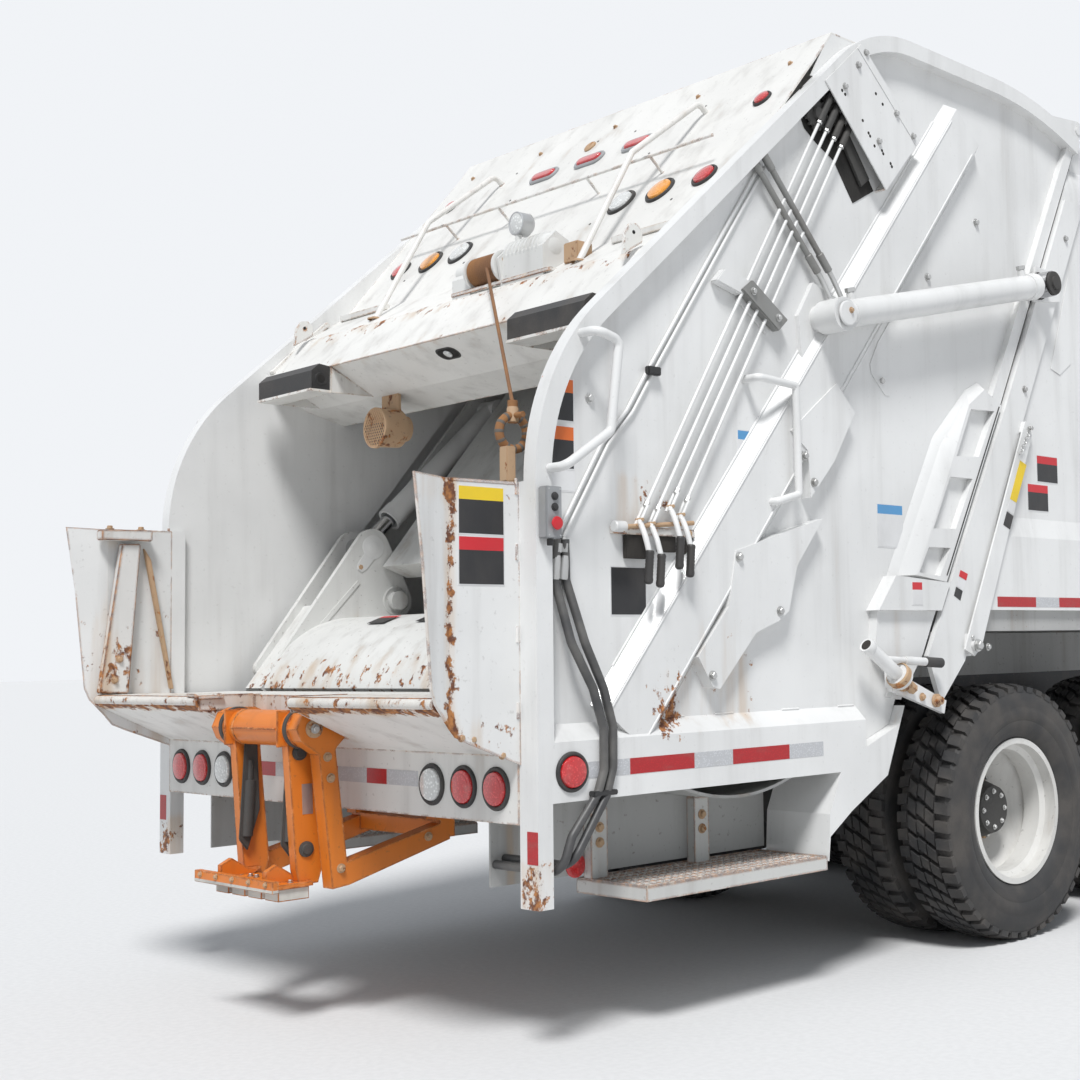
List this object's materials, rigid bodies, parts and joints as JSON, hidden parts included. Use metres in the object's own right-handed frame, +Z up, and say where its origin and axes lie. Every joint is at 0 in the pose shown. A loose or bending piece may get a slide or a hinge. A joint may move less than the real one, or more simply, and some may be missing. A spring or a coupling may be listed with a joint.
{
  "type": "garbage truck",
  "caption": "Rear loader garbage truck with a low-entry cab, a round-shouldered load body and a tailgate that holds hopper, sweep blade and packer carriage.",
  "frame": {"origin": "centre of the bounding box's base, on the ground", "axes": "+Y forward, +X to the truck's right side, +Z up"},
  "size_m": [2.84, 9.6652, 3.6238],
  "materials": {
    "body_paint": "white paint, weathered, with rust streaks",
    "packer_paint": "white paint worn to steel where refuse slides",
    "cab_paint": "white gloss paint",
    "chassis_paint": "black chassis paint, dusty",
    "cast_parts": "dark cast iron, oily",
    "tank_paint": "plain dull aluminium",
    "exhaust_steel": "heat stained steel",
    "window_glass": "tinted clear glass",
    "cab_trim": "dark grey fabric and plastic",
    "bumper_paint": "white paint",
    "front_lens": "clear lens",
    "black_trim": "black plastic",
    "tyre": "black rubber, dusty",
    "wheel_paint": "white painted steel, dirty",
    "black_rubber": "black rubber",
    "tread_plate": "tread plate, scuffed",
    "rear_lens": "red lens",
    "button_case": "yellow plastic case",
    "winch_paint": "black paint, greasy",
    "lifter_paint": "orange paint, chipped",
    "rod_chrome": "chromed rod, greasy",
    "work_light_steel": "rusty painted steel",
    "hose_rubber": "black hydraulic hose",
    "cable_steel": "twisted steel cable"
  },
  "bodies": {
    "truck": {"body_shell": "body_paint", "body_floor": "body_paint", "body_front": "body_paint", "body_fittings": "body_paint", "chassis_frame": "chassis_paint", "axles": "cast_parts", "suspension": "chassis_paint", "engine": "cast_parts", "side_tanks": "tank_paint", "exhaust_stack": "exhaust_steel", "cab_shell": "cab_paint", "cab_glass": "window_glass", "cab_interior": "cab_trim", "bumper": "bumper_paint", "front_lamps": "front_lens", "mirrors": "black_trim"},
    "tailgate": {"tailgate_sides": "body_paint", "hopper_floor": "body_paint", "tail_sill": "body_paint", "hopper_guards": "body_paint", "tail_hood": "body_paint", "rubber_stops": "black_rubber", "side_steps": "tread_plate", "tail_lamps": "rear_lens", "control_gear": "body_paint", "button_box": "button_case", "grab_rails": "body_paint", "steel_pipes": "body_paint", "winch": "winch_paint", "lifter_base": "lifter_paint", "work_light": "work_light_steel", "hoses": "hose_rubber", "winch_cable": "cable_steel", "tailgate_locks": "body_paint"},
    "carriage": {"packer_carriage": "packer_paint"},
    "blade": {"sweep_blade": "packer_paint"},
    "sweep_cylinder_barrels": {"sweep_barrels": "body_paint"},
    "sweep_cylinder_rods": {"sweep_rods": "rod_chrome"},
    "lift_cylinder_barrels": {"lift_barrels": "body_paint"},
    "lift_cylinder_rods": {"lift_rods": "rod_chrome"},
    "lifter": {"lifter_arms": "lifter_paint"},
    "ejector": {"ejector_panel": "packer_paint"},
    "door_left_body": {"door_left": "cab_paint", "door_glass_left": "window_glass"},
    "door_right_body": {"door_right": "cab_paint", "door_glass_right": "window_glass"},
    "steer_left": {"knuckle_left": "cast_parts"},
    "steer_right": {"knuckle_right": "cast_parts"},
    "wheel_front_left": {"tyre_front_left": "tyre", "rim_front_left": "wheel_paint"},
    "wheel_front_right": {"tyre_front_right": "tyre", "rim_front_right": "wheel_paint"},
    "wheels_forward_left": {"tyres_forward_left": "tyre", "rims_forward_left": "wheel_paint"},
    "wheels_forward_right": {"tyres_forward_right": "tyre", "rims_forward_right": "wheel_paint"},
    "wheels_aft_left": {"tyres_aft_left": "tyre", "rims_aft_left": "wheel_paint"},
    "wheels_aft_right": {"tyres_aft_right": "tyre", "rims_aft_right": "wheel_paint"}
  },
  "joints": [
    {"name": "tailgate_hinge", "type": "hinge", "parent": "truck", "child": "tailgate", "pos_m": [0, -1.2874, 3.56], "axis": [-1, 0, 0], "range_deg": [0, 80]},
    {"name": "lift_barrel_pivot", "type": "hinge", "parent": "tailgate", "child": "lift_cylinder_barrels", "pos_m": [0, -3.09741, 2.425], "axis": [-1, 0, 0], "range_deg": [0, 1]},
    {"name": "lift_rod_slide", "type": "slide", "parent": "lift_cylinder_barrels", "child": "lift_cylinder_rods", "axis": [0, 0.9718, 0.2358], "range_m": [0, 1.17]},
    {"name": "carriage_slide", "type": "slide", "parent": "tailgate", "child": "carriage", "axis": [0, 0.6255, 0.7802], "range_m": [0, 0.88]},
    {"name": "sweep_pivot", "type": "hinge", "parent": "carriage", "child": "blade", "pos_m": [0, -3.5274, 1.46], "axis": [1, 0, 0], "range_deg": [-20, 100]},
    {"name": "sweep_barrel_pivot", "type": "hinge", "parent": "carriage", "child": "sweep_cylinder_barrels", "pos_m": [0, -2.94141, 2.36], "axis": [1, 0, 0], "range_deg": [-2, 9]},
    {"name": "sweep_rod_slide", "type": "slide", "parent": "sweep_cylinder_barrels", "child": "sweep_cylinder_rods", "axis": [0, -0.7204, -0.6935], "range_m": [-0.08, 0.35]},
    {"name": "lifter_pivot", "type": "hinge", "parent": "tailgate", "child": "lifter", "pos_m": [0, -4.62741, 0.985], "axis": [-1, 0, 0], "range_deg": [0, 150]},
    {"name": "ejector_slide", "type": "slide", "parent": "truck", "child": "ejector", "axis": [0, -1, 0], "range_m": [0, 3.9]},
    {"name": "door_right_hinge", "type": "hinge", "parent": "truck", "child": "door_right_body", "pos_m": [1.19, 4.61259, 1.6], "axis": [0, 0, 1], "range_deg": [0, 70]},
    {"name": "door_left_hinge", "type": "hinge", "parent": "truck", "child": "door_left_body", "pos_m": [-1.19, 4.61259, 1.6], "axis": [0, 0, -1], "range_deg": [0, 70]},
    {"name": "steer_right_kingpin", "type": "hinge", "parent": "truck", "child": "steer_right", "pos_m": [0.88, 3.31259, 0.525], "axis": [0, 0, 1], "range_deg": [-35, 35]},
    {"name": "steer_left_kingpin", "type": "hinge", "parent": "truck", "child": "steer_left", "pos_m": [-0.88, 3.31259, 0.525], "axis": [0, 0, 1], "range_deg": [-35, 35]},
    {"name": "wheel_front_right_spin", "type": "hinge", "parent": "steer_right", "child": "wheel_front_right", "pos_m": [1.035, 3.31259, 0.525], "axis": [1, 0, 0], "continuous": true},
    {"name": "wheel_front_left_spin", "type": "hinge", "parent": "steer_left", "child": "wheel_front_left", "pos_m": [-1.035, 3.31259, 0.525], "axis": [1, 0, 0], "continuous": true},
    {"name": "wheels_forward_right_spin", "type": "hinge", "parent": "truck", "child": "wheels_forward_right", "pos_m": [0.93, -0.6184, 0.525], "axis": [1, 0, 0], "continuous": true},
    {"name": "wheels_forward_left_spin", "type": "hinge", "parent": "truck", "child": "wheels_forward_left", "pos_m": [-0.93, -0.6184, 0.525], "axis": [1, 0, 0], "continuous": true},
    {"name": "wheels_aft_right_spin", "type": "hinge", "parent": "truck", "child": "wheels_aft_right", "pos_m": [0.93, -1.9384, 0.525], "axis": [1, 0, 0], "continuous": true},
    {"name": "wheels_aft_left_spin", "type": "hinge", "parent": "truck", "child": "wheels_aft_left", "pos_m": [-0.93, -1.9384, 0.525], "axis": [1, 0, 0], "continuous": true}
  ],
  "couplings": [
    {"joint": "lift_barrel_pivot", "follows": "tailgate_hinge", "ratio": 0.008},
    {"joint": "lift_rod_slide", "follows": "tailgate_hinge", "m_per_rad": 0.8306},
    {"joint": "sweep_barrel_pivot", "follows": "sweep_pivot", "ratio": 0.0897},
    {"joint": "sweep_rod_slide", "follows": "sweep_pivot", "m_per_rad": 0.1997},
    {"joint": "steer_left_kingpin", "follows": "steer_right_kingpin", "ratio": 1}
  ]
}
